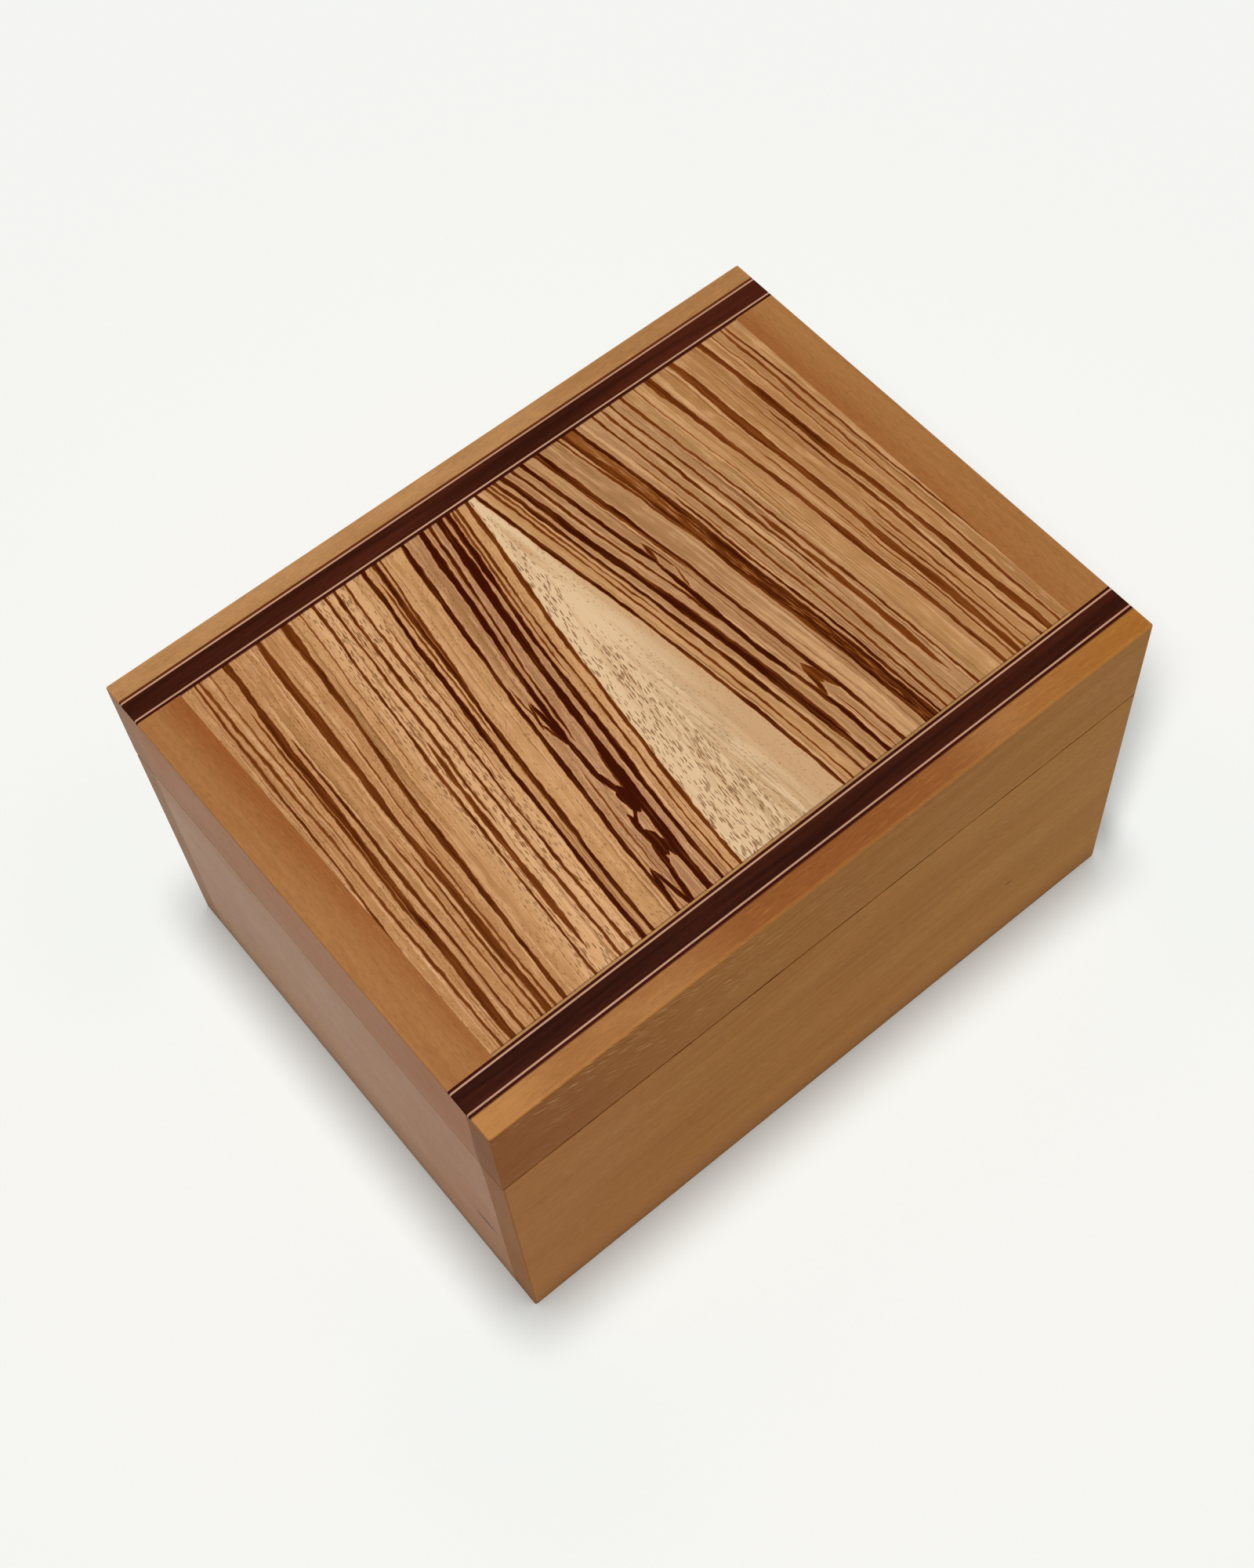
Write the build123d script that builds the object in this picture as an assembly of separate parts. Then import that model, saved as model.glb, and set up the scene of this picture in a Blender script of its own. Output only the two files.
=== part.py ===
from build123d import *
import math
import os

# A keepsake box of cherry boards with a hinged lid. The lid's top is inlaid with two book-matched
# zebrano leaves, a cherry strip at each end, and a dark band with light and dark lines at the
# front and the back. Brass butt hinges lie in a bevelled groove along the back of the seam.
# Millimetres. X runs along the front to the right, Y to the back, Z up.
# The origin is the middle of the foot.

# Overall size
LENGTH = 240.0           # left to right
WIDTH = 182.0            # front to back
HEIGHT = 140.0           # foot to top
LID_HEIGHT = 37.0        # seam to top
SEAM_GAP = 0.3           # hairline between the closed lid and the body

# Boards and their corner joints
BOARD = 10.0             # thickness of the front, back and end boards
TONGUE = 4.0             # thickness of the bare-faced tongue on an end board
TONGUE_REACH = 4.0       # how far the tongue enters the long board
TONGUE_STOP = 9.0        # the lid's tongues end this far below the top, out of sight
GLUE_ROOM = 0.2          # room past the end of a tongue
ARRIS = 0.7              # rounding of the outer edges
SEAM_ARRIS = 0.3         # bevel of the edges at the seam and the foot

# Bottom panel and its lining
BOTTOM = 5.0             # thickness of the bottom panel
BOTTOM_RAISE = 5.0       # foot to the underside of the bottom panel
BOTTOM_GROOVE = 4.0      # depth of its groove in the boards
PANEL_ROOM = 0.4         # room between a panel's edge and the bottom of its groove
LINING = 1.5             # thickness of the felt
LINING_ROOM = 0.4        # room between the felt and the boards

# Lid panel under the inlay
CORE = 6.0               # thickness of the core panel
CORE_TONGUE = 3.0        # thickness of the core's tongue
CORE_GROOVE = 4.0        # depth of its groove in the boards
BALANCE = 0.8            # thickness of the veneer on the core's underside

# Inlay, from the outer edges inwards
INLAY = 0.9              # thickness of every inlaid piece
FRONT_STRIP = 8.0        # front face to the front lines
BACK_STRIP = 7.0         # back face to the back lines
DARK_LINE = 0.8
LIGHT_LINE = 0.7
BAND = 6.8
FILLER = 0.7             # tan line between the zebrano and the front lines
END_STRIP = 15.0         # end face to the zebrano

# Hinges
HINGE_LENGTH = 32.0
HINGE_INSET = 28.0       # end face to the near end of a hinge
KNUCKLES = 5
BARREL = 1.5             # radius of the knuckles
LEAF = 1.0               # thickness of a leaf
LEAF_MARGIN = 0.8        # wood left between a leaf and the inner face
PIN = 0.7                # radius of the pin
PIN_PLAY = 0.05          # radial play of the lid's knuckles on the pin
PIN_SEAT = 0.02          # radial play of the body's knuckles on the pin
PIN_SHORT = 0.3          # how far the pin stops inside the end of the barrel
KNUCKLE_PLAY = 0.2       # gap between neighbouring knuckles
BARREL_ROOM = 0.25       # room round the barrel
LEAF_ROOM = 0.1          # room round a leaf in its recess
STOP_DEPTH = 1.6         # back face to the pin, taken up by the stop bevel
STOP_ANGLE = 96.0        # opening at which the two bevels meet and stop the lid

# Hinge screws
SCREWS = 2               # screws in a leaf
SCREW_INSET = 7.0        # end of the leaf to its nearest screw
SCREW_SHANK = 0.8        # radius of the shank
SCREW_LENGTH = 7.0
SCREW_PLAY = 0.03

# Places that follow from the sizes above
END_X = LENGTH / 2
SIDE_Y = WIDTH / 2
INNER_X = END_X - BOARD
INNER_Y = SIDE_Y - BOARD
SEAM = HEIGHT - LID_HEIGHT
BODY_TOP = SEAM - SEAM_GAP / 2
LID_FOOT = SEAM + SEAM_GAP / 2
LINES = DARK_LINE + LIGHT_LINE + BAND + LIGHT_LINE + DARK_LINE
FIELD_X = END_X - END_STRIP
FIELD_FRONT = FRONT_STRIP + LINES - SIDE_Y
FIELD_BACK = SIDE_Y - BACK_STRIP - LINES
INLAY_FLOOR = HEIGHT - INLAY
CORE_FLOOR = INLAY_FLOOR - CORE
LINING_FLOOR = BOTTOM_RAISE + BOTTOM
PIN_Y = SIDE_Y - STOP_DEPTH
BEVEL_RISE = STOP_DEPTH * math.tan(math.radians(STOP_ANGLE / 2))
LEAF_REACH = BOARD - STOP_DEPTH - LEAF_MARGIN
BARREL_SPACE = BARREL + BARREL_ROOM
SCREW_Y = PIN_Y - (BARREL_SPACE + LEAF_REACH) / 2
SCREW_HEAD = SCREW_SHANK + LEAF    # a right-angled countersink that runs through the leaf
SCREW_PITCH = (HINGE_LENGTH - 2 * SCREW_INSET) / max(SCREWS - 1, 1)
HINGE_X = END_X - HINGE_INSET - HINGE_LENGTH / 2
KNUCKLE = HINGE_LENGTH / KNUCKLES
CUT_PAST = 1.0           # how far a cutting shape runs past the surface
NEAR = 0.001             # two places closer than this are the same


def block(x, y, z):
    """A straight-sided solid between two limits along each axis."""
    centre = Pos((x[0] + x[1]) / 2, (y[0] + y[1]) / 2, (z[0] + z[1]) / 2)
    return centre * Box(x[1] - x[0], y[1] - y[0], z[1] - z[0])


def mirrored(low, high, side):
    """The limits low and high on the plus side, or the same on the minus side."""
    return tuple(sorted((side * low, side * high)))


def rim(form, level):
    """The edges of a block that run round it at this height."""
    return [edge for edge in form.edges() if abs(edge.center().Z - level) < NEAR]


def outer_form():
    """The closed box as one block with rounded top and corners, which every outer edge follows."""
    form = block((-END_X, END_X), (-SIDE_Y, SIDE_Y), (0, HEIGHT))
    return fillet(rim(form, HEIGHT) + rim(form, HEIGHT / 2), ARRIS)


def half_form(foot, top, bevelled):
    """The outer form between two heights, with the edges at these levels bevelled."""
    half = block((-END_X, END_X), (-SIDE_Y, SIDE_Y), (foot, top))
    edges = [edge for level in bevelled for edge in rim(half, level)]
    return chamfer(edges, SEAM_ARRIS) & outer_form()


BODY_FORM = half_form(0, BODY_TOP, (0, BODY_TOP))
LID_FORM = half_form(LID_FOOT, HEIGHT, (LID_FOOT,))


# Joints that are cut from one shape and filled by another


def tongue(end, side, foot, top, room=0.0):
    """The bare-faced tongue of an end board, or its housing when room is given."""
    x = mirrored(INNER_X, INNER_X + TONGUE, end)
    y = mirrored(INNER_Y, INNER_Y + TONGUE_REACH + room, side)
    return block(x, y, (foot, top + room))


def inlay_recess():
    """The shallow recess in the top that holds all the inlay."""
    length = (-END_X - CUT_PAST, END_X + CUT_PAST)
    depth = (FRONT_STRIP - SIDE_Y, SIDE_Y - BACK_STRIP)
    return block(length, depth, (INLAY_FLOOR, HEIGHT + CUT_PAST))


def panel(reach, z):
    """A flat panel that reaches past the inner faces of the boards."""
    x = INNER_X + reach
    y = INNER_Y + reach
    return block((-x, x), (-y, y), z)


def bottom_groove():
    return panel(BOTTOM_GROOVE, (BOTTOM_RAISE, LINING_FLOOR))


def core_groove():
    return panel(CORE_GROOVE, (CORE_FLOOR, CORE_FLOOR + CORE_TONGUE))


# Boards


def long_board(outline):
    """A board with this (y, z) outline that runs the whole length of the box."""
    return extrude(make_face(Plane.YZ * Polyline(*outline, close=True)), END_X, both=True)


def front_outline(foot, top):
    return [(-SIDE_Y, foot), (-INNER_Y, foot), (-INNER_Y, top), (-SIDE_Y, top)]


def body_back_outline():
    """The body's back board, bevelled behind the hinge pin to stop the lid."""
    shoulder = BODY_TOP - BEVEL_RISE
    return [(INNER_Y, 0), (SIDE_Y, 0), (SIDE_Y, shoulder), (PIN_Y, BODY_TOP), (INNER_Y, BODY_TOP)]


def lid_back_outline():
    """The lid's back board, bevelled like the body's."""
    shoulder = LID_FOOT + BEVEL_RISE
    return [(INNER_Y, LID_FOOT), (PIN_Y, LID_FOOT), (SIDE_Y, shoulder), (SIDE_Y, HEIGHT), (INNER_Y, HEIGHT)]


def body_long_board(side):
    board = long_board(front_outline(0, BODY_TOP) if side < 0 else body_back_outline())
    for end in (-1, 1):
        board -= tongue(end, side, -CUT_PAST, BODY_TOP + CUT_PAST, GLUE_ROOM)
    return (board - bottom_groove()) & BODY_FORM


def lid_long_board(side):
    board = long_board(front_outline(LID_FOOT, HEIGHT) if side < 0 else lid_back_outline())
    for end in (-1, 1):
        board -= tongue(end, side, LID_FOOT - CUT_PAST, HEIGHT - TONGUE_STOP, GLUE_ROOM)
    return (board - inlay_recess() - core_groove()) & LID_FORM


def end_board(end, foot, top, tongue_top):
    board = block(mirrored(INNER_X, END_X, end), (-INNER_Y, INNER_Y), (foot, top))
    for side in (-1, 1):
        board += tongue(end, side, foot, tongue_top)
    return board


def body_end_board(end):
    board = end_board(end, 0, BODY_TOP, BODY_TOP)
    return (board - bottom_groove()) & BODY_FORM


def lid_end_board(end):
    board = end_board(end, LID_FOOT, HEIGHT, HEIGHT - TONGUE_STOP)
    return (board - inlay_recess() - core_groove()) & LID_FORM


# Panels and lining


def bottom_panel():
    return panel(BOTTOM_GROOVE - PANEL_ROOM, (BOTTOM_RAISE, LINING_FLOOR))


def base_lining():
    return panel(-LINING_ROOM, (LINING_FLOOR, LINING_FLOOR + LINING))


def lid_core_panel():
    core = panel(0, (CORE_FLOOR, HEIGHT)) - inlay_recess()
    return core + panel(CORE_GROOVE - PANEL_ROOM, (CORE_FLOOR, CORE_FLOOR + CORE_TONGUE))


def balancing_veneer():
    return panel(0, (CORE_FLOOR - BALANCE, CORE_FLOOR))


# Inlay


def inlaid(x, y):
    """A flat inlaid piece, rounded where it reaches an outer edge of the box."""
    return block(x, y, (INLAY_FLOOR, HEIGHT)) & LID_FORM


def line_pieces(name, side, strip):
    """The five strips of one band, from the outer edge of the box inwards."""
    pieces = {}
    edge = SIDE_Y - strip
    for part, width in (
        ("outer_dark_line", DARK_LINE),
        ("outer_light_line", LIGHT_LINE),
        ("band", BAND),
        ("inner_light_line", LIGHT_LINE),
        ("inner_dark_line", DARK_LINE),
    ):
        pieces[f"{name}_{part}"] = inlaid((-END_X, END_X), mirrored(edge - width, edge, side))
        edge -= width
    return pieces


def zebrano_leaf(end):
    return inlaid(mirrored(0, FIELD_X, end), (FIELD_FRONT + FILLER, FIELD_BACK))


def end_strip(end):
    return inlaid(mirrored(FIELD_X, END_X, end), (FIELD_FRONT, FIELD_BACK))


def filler_line():
    return inlaid((-FIELD_X, FIELD_X), (FIELD_FRONT, FIELD_FRONT + FILLER))


# Hinges


def along_pin(radius, start, end):
    """A round bar about the hinge pin between two places along the hinge."""
    bar = Cylinder(radius, end - start, rotation=(0, 90, 0))
    return Pos((start + end) / 2, PIN_Y, SEAM) * bar


def screw_places():
    first = -SCREW_PITCH * (SCREWS - 1) / 2
    return [first + SCREW_PITCH * index for index in range(SCREWS)]


def screw(play=0.0):
    """A countersunk screw that points down from the origin, or its hole when play is given."""
    shank = SCREW_SHANK + play
    head = SCREW_HEAD + play
    depth = SCREW_LENGTH + play
    outline = Polyline((0, 0), (head, 0), (shank, -LEAF), (shank, -depth), (0, -depth), close=True)
    return revolve(make_face(Plane.XZ * outline), Axis.Z)


def at_leaf(shape, x, level):
    """A screw or its hole, set in the body's leaf (level -1) or the lid's (level 1)."""
    if level < 0:
        return Pos(x, SCREW_Y, BODY_TOP) * shape
    return Pos(x, SCREW_Y, LID_FOOT) * Rot(180, 0, 0) * shape


def hinge_leaf(level):
    """One leaf with its knuckles, in the middle of the box's length."""
    plate = Pos(PIN_Y - LEAF_REACH / 2, SEAM + level * (SEAM_GAP + LEAF) / 2) * Rectangle(LEAF_REACH, LEAF)
    barrel = Pos(PIN_Y, SEAM) * Circle(BARREL)
    leaf = extrude(Plane.YZ * (plate + barrel), HINGE_LENGTH / 2, both=True)
    for index in range(KNUCKLES):
        owner = -1 if index % 2 == 0 else 1
        start = index * KNUCKLE - HINGE_LENGTH / 2
        if owner != level:
            leaf -= along_pin(BARREL_SPACE, start - KNUCKLE_PLAY / 2, start + KNUCKLE + KNUCKLE_PLAY / 2)
    bore = PIN + (PIN_SEAT if level < 0 else PIN_PLAY)
    leaf -= along_pin(bore, -HINGE_LENGTH, HINGE_LENGTH)
    for x in screw_places():
        leaf -= at_leaf(screw(SCREW_PLAY), x, level)
    return leaf


def hinge_pin():
    reach = HINGE_LENGTH / 2 - PIN_SHORT
    return along_pin(PIN, -reach, reach)


def hinge_recess():
    """The space that a closed hinge and its screws take up in the two back boards."""
    reach = HINGE_LENGTH / 2 + LEAF_ROOM
    depth = SEAM_GAP / 2 + LEAF
    y = (PIN_Y - LEAF_REACH - LEAF_ROOM, SIDE_Y + CUT_PAST)
    recess = block((-reach, reach), y, (SEAM - depth, SEAM + depth))
    recess += along_pin(BARREL_SPACE, -reach, reach)
    for x in screw_places():
        for level in (-1, 1):
            recess += at_leaf(screw(SCREW_PLAY), x, level)
    return recess


def hinge_screws(level):
    """The screws of both hinges in the body's or the lid's leaves."""
    screws = []
    for end in (-1, 1):
        for x in screw_places():
            screws.append(at_leaf(screw(), end * HINGE_X + x, level))
    return Compound(screws)


# The whole box, one entry for each piece


def box_pieces():
    pieces = {
        "body_front_board": body_long_board(-1),
        "body_back_board": body_long_board(1),
        "lid_front_board": lid_long_board(-1),
        "lid_back_board": lid_long_board(1),
        "bottom_panel": bottom_panel(),
        "base_lining": base_lining(),
        "lid_core_panel": lid_core_panel(),
        "lid_balancing_veneer": balancing_veneer(),
        "filler_line": filler_line(),
        "body_hinge_screws": hinge_screws(-1),
        "lid_hinge_screws": hinge_screws(1),
    }
    for name, end in (("left", -1), ("right", 1)):
        place = Pos(end * HINGE_X, 0, 0)
        pieces[f"body_{name}_board"] = body_end_board(end)
        pieces[f"lid_{name}_board"] = lid_end_board(end)
        pieces[f"{name}_zebrano_leaf"] = zebrano_leaf(end)
        pieces[f"{name}_end_strip"] = end_strip(end)
        pieces[f"{name}_hinge_body_leaf"] = place * hinge_leaf(-1)
        pieces[f"{name}_hinge_lid_leaf"] = place * hinge_leaf(1)
        pieces[f"{name}_hinge_pin"] = place * hinge_pin()
        pieces["body_back_board"] -= place * hinge_recess()
        pieces["lid_back_board"] -= place * hinge_recess()
    pieces.update(line_pieces("front", -1, FRONT_STRIP))
    pieces.update(line_pieces("back", 1, BACK_STRIP))
    return pieces


os.makedirs("parts", exist_ok=True)
for node, piece in box_pieces().items():
    export_step(piece, f"parts/{node}.step")
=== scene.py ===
"""Looks of a keepsake box: cherry boards, an inlaid zebrano lid, brass hinges and a felt lining."""

import math

import bmesh
import bpy
from mathutils import Matrix, Vector


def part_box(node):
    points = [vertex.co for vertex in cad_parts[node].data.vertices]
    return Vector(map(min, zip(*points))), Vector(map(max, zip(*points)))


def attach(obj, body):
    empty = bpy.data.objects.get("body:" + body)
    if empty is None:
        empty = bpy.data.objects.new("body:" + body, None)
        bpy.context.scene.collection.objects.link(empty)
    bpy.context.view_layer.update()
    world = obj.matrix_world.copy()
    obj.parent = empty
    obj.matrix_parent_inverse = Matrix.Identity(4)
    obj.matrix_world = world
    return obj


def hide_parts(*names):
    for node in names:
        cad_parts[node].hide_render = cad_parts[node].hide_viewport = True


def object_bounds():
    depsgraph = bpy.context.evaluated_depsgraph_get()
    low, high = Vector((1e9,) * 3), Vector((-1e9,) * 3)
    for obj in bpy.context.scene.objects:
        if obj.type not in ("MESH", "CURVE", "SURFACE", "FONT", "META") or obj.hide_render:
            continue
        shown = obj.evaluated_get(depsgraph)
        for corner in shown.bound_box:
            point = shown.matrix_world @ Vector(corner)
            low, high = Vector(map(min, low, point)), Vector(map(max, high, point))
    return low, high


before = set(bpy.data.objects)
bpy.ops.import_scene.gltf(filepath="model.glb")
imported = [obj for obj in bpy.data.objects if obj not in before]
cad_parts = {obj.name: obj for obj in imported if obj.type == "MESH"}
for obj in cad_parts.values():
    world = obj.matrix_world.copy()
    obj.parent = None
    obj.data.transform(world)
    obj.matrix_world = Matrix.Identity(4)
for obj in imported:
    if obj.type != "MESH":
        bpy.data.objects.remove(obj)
CAD_BOX = [list(corner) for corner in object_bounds()]

bl_info = {
    "name": "Keepsake Box Looks",
    "version": (1, 0, 0),
    "blender": (4, 5, 0),
    "location": "View3D > Sidebar > Keepsake Box",
    "description": "Finishes, hinge screws, felt lining and studio for an inlaid wooden box",
    "category": "Object",
}

# Units, and places that come from the frame
MM = 0.001
PER_MM = 1000.0
ORIGIN = (0.0, 0.0, 0.0)
BOX_LOW = Vector(CAD_BOX[0]) * PER_MM
BOX_HIGH = Vector(CAD_BOX[1]) * PER_MM
LEAF_LOW, LEAF_HIGH = (corner * PER_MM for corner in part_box("right_zebrano_leaf"))
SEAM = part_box("lid_front_board")[0].z * PER_MM
OUTER_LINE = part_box("front_outer_dark_line")[0].y * PER_MM
INNER_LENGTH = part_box("body_right_board")[0].x * PER_MM
INNER_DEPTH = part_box("body_back_board")[0].y * PER_MM
INNER_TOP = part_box("lid_core_panel")[0].z * PER_MM
FELT_LOW, FELT_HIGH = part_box("base_lining")

# Marks on the boards, in mm: a pin knot on the front, and a gum streak and the height of a dark joint
# line on the left end. The streak's place is given with the grain turned along X.
PIN_KNOT = (76.0, BOX_LOW.y, 35.0)
GUM_STREAK = (BOX_LOW.y + 19.0, BOX_HIGH.x, 36.0)
JOINT_LINE = (96.0, 122.0)

# The soft shadow on the floor: for each mm of its length it goes this far to the right and to the back
SHADOW_RIGHT = 0.83
SHADOW_BACK = 0.56
SHADOW_DEPTH = 0.45      # how dark it is

# The stage, in metres and for the sensor in mm; sides of a screw; rows of points on the felt, and the
# share of its thickness by which the outermost rows are lowered
FLOOR_REACH = 4.0
FLOOR_LEVEL = -0.05 * MM
SENSOR_WIDTH = 36.0
SCREW_SIDES = 36
FELT_ACROSS, FELT_BACK = 112, 84
FELT_RIM = (0.45, 0.08, 0.0)

# The zebrano flitch. Its stripes fan out from the back edge towards the front, so a stripe keeps its
# place across the flitch while its distance from the middle joint grows.
FAN_SPREAD = 17.9        # mm that a stripe at the joint moves outwards from back to front
FAN_NARROWING = 0.135    # share of that movement lost across the flitch
FAN_EASE = 1.25          # above 1, the stripes spread faster near the back
FROM_BACK = -1.0         # a start and an end well past the leaf
TO_FRONT = 2.0
# Waves by which the stripes wander: turns along the leaf, width in mm, detail and reach in mm
WANDER = ((3.4, 13.0, 1, 1.0), (17.0, 4.0, 2, 0.45), (46.0, 1.1, 1, 0.34))


def stripe(place, width, drift, tone, start=FROM_BACK, end=TO_FRONT):
    """A stripe that keeps its place on the flitch, or drifts (in mm from back to front)."""
    return {"Place": place, "Width": width, "Drift": drift, "Tone": tone, "Start": start, "End": end}


def branch(place, start, far_place, end, width, tone=1.0):
    """A short stripe from one place across and along the flitch to another."""
    drift = (far_place - place) / (end - start)
    return stripe(place - drift * start, width, drift, tone, start, end)


# Stripes by their place and width in mm, their drift and how dark they are. Lengths along the leaf run
# from 0 at the back to 1 at the front.
STRIPES = [
    stripe(5.4, 0.75, -0.5, 0.74),
    stripe(6.9, 0.7, 0.3, 0.62, end=0.5),
    stripe(15.5, 0.95, 4.5, 0.85, end=0.62),
    stripe(25.6, 1.5, 1.2, 0.92),
    stripe(33.6, 0.8, 5.0, 0.72, end=0.42),
    stripe(35.9, 1.6, 0.9, 0.84),
    stripe(40.0, 1.6, 0.6, 0.92),
    stripe(44.0, 0.5, -0.5, 0.45, start=0.1, end=0.6),
    stripe(47.0, 0.9, -1.2, 0.74),
    stripe(50.7, 0.85, -0.9, 0.74),
    stripe(53.7, 0.85, 0.5, 0.74, end=0.66),
    stripe(55.9, 1.8, 0.3, 0.66, start=0.38, end=0.97),
    stripe(58.2, 0.95, 1.4, 0.74),
    stripe(63.0, 0.5, 1.0, 0.4, end=0.5),
    stripe(68.2, 1.8, 3.5, 0.74),
    stripe(72.8, 0.6, 2.5, 0.55, start=0.25, end=0.66),
    stripe(75.6, 0.7, 0.0, 0.62, start=0.55),
    stripe(77.9, 2.4, 0.3, 0.68),
    stripe(80.8, 0.8, 0.0, 0.7, start=0.55),
    stripe(83.4, 0.7, 0.0, 0.62, start=0.5),
    stripe(87.0, 1.05, 0.6, 0.78, start=0.2),
    stripe(89.5, 2.3, 2.4, 0.74),
    stripe(94.8, 0.55, 0.6, 0.5, end=0.55),
    stripe(98.3, 0.9, -2.3, 0.64),
    stripe(99.9, 0.8, 2.4, 0.72),
]
LEFT_STRIPES = [
    stripe(1.5, 1.3, -0.2, 0.74),
    stripe(8.7, 1.6, 0.6, 0.95),
    stripe(11.7, 2.7, 2.4, 1.0),
    stripe(18.8, 1.9, 2.4, 1.0, end=0.64),
    branch(25.0, 0.4, 23.6, 0.54, 0.6, 0.8),
    branch(22.7, 0.455, 20.3, 0.61, 1.5),
    branch(22.9, 0.46, 24.3, 0.54, 0.8, 0.9),
    branch(24.2, 0.51, 20.2, 0.605, 0.9, 0.9),
    branch(20.5, 0.55, 19.4, 0.72, 1.5),
    branch(19.9, 0.66, 15.8, 0.77, 1.8),
    branch(16.9, 0.712, 15.6, 0.8, 3.4),
    branch(14.9, 0.63, 14.8, 0.76, 1.1, 0.85),
    branch(15.6, 0.765, 19.8, 0.82, 1.3),
    branch(19.5, 0.77, 18.4, 0.89, 1.7),
    branch(18.2, 0.82, 17.2, 0.905, 3.6),
    branch(18.2, 0.84, 19.6, 0.925, 2.0),
    branch(17.0, 0.845, 14.2, 0.925, 1.9),
    branch(18.6, 0.86, 22.2, 1.05, 1.7),
    branch(25.1, 0.885, 21.4, 1.03, 1.6),
    branch(24.9, 0.885, 27.6, 1.03, 1.7),
    branch(22.6, 0.62, 22.9, 0.96, 0.6, 0.6),
    stripe(37.8, 0.8, 0.2, 0.6, start=0.02, end=0.5),
    stripe(92.2, 0.9, 0.6, 0.72, start=0.1, end=0.75),
]
RIGHT_STRIPES = [
    stripe(1.5, 1.2, -0.2, 0.92),
    stripe(8.7, 1.3, 0.6, 0.9),
    stripe(11.7, 2.2, 2.4, 1.0),
    branch(18.7, -0.3, 20.2, 0.42, 1.5),
    branch(20.2, 0.34, 17.9, 0.71, 1.7),
    branch(17.7, 0.58, 20.7, 0.92, 1.9),
    branch(20.6, 0.8, 20.2, 1.1, 1.6),
    branch(22.5, 0.31, 20.2, 0.385, 0.9, 0.85),
    branch(22.3, 0.31, 22.8, 0.42, 0.8, 0.75),
    branch(22.9, 0.4, 20.2, 0.47, 0.6, 0.6),
    branch(24.1, 0.73, 20.6, 0.84, 1.8, 0.8),
    branch(23.8, 0.735, 26.0, 0.84, 1.8, 0.8),
    branch(23.6, 0.74, 23.6, 0.81, 1.6, 0.75),
    branch(22.9, 0.8, 23.2, 1.1, 0.6, 0.66),
    branch(13.6, 0.36, 15.6, 0.95, 1.5, 0.84),
    stripe(24.3, 0.8, 2.2, 0.8, end=0.45),
    stripe(42.2, 1.0, 0.5, 0.95, start=0.25),
    stripe(91.6, 0.9, -0.4, 0.7, start=0.3),
]
# Part of the flitch with a paler, more open grain, in mm across it
OPEN_GRAIN = (43.0, 62.0)
LEFT_LEAF = {
    "seed": 1.0,
    "stripes": STRIPES + LEFT_STRIPES,
    "shade": (1.0, 1.0, 1.0),     # of the whole ground, for each channel
    "mauve": 0.85,                # strength of the greyish ground between the close stripes
    "mauve_to": 25.0,             # where that ground ends, in mm across the flitch
    "open": 0.55,                 # lightness of the open grain
    "pores": 0.4,                 # size of the pores
    "streaks": 0.6,               # dark streaks in the pale wedge, for each mm across
    "pale_from": (0.2, 0.5),      # change from those streaks to the pale wood
    "beside": 1.0,                # paleness of the wedge away from the joint
    "depth": (0.55, 1.45),        # least and greatest darkness along a stripe
}
# On the right leaf the shade is a painted shade, as the book-matched leaves catch the light differently; the
# left wedge's paleness away from the joint (beside) is partly a painted highlight.
RIGHT_LEAF = {
    "seed": 1.6,
    "stripes": STRIPES + RIGHT_STRIPES,
    "shade": (0.9, 0.9, 0.86),
    "mauve": 0.6,
    "mauve_to": 60.0,
    "open": 0.1,
    "pores": 0.13,
    "streaks": 0.3,
    "pale_from": (0.2, 0.6),
    "beside": 0.12,
    "depth": (0.5, 1.36),
    "broken": (36.3, 39.9, 0.18),    # a stripe broken up by streaks: two edges in mm, and its start
}


def srgb(red, green, blue):
    """A colour given in the usual 0 to 255 steps, as the linear values that shaders use."""
    steps = [channel / 255 for channel in (red, green, blue)]
    return tuple(s / 12.92 if s <= 0.04045 else ((s + 0.055) / 1.055) ** 2.4 for s in steps)


def shaded(colour, share):
    """A colour multiplied by one share, or by a share for each channel."""
    shares = share if isinstance(share, tuple) else (share,) * 3
    return tuple(channel * part for channel, part in zip(colour, shares))


# Bare cherry on the inner faces, paler partly as bare wood and partly as painted light on the dim inside:
# dark and light growth
BARE_AND_LIT_INSIDE = (srgb(206, 156, 98), srgb(228, 186, 130))
END_GRAIN = srgb(150, 96, 58)

# Settings


def colour_property(name, description, red, green, blue):
    return bpy.props.FloatVectorProperty(
        name=name, description=description, subtype="COLOR", size=3, min=0, max=1,
        default=srgb(red, green, blue),
    )


def number_property(name, description, default, **kind):
    return bpy.props.FloatProperty(name=name, description=description, default=default, **kind)


def length_property(name, description, default):
    return number_property(name, description, default, unit="LENGTH", precision=5)


def angle_property(name, description, degrees):
    return number_property(name, description, math.radians(degrees), subtype="ANGLE")


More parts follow.
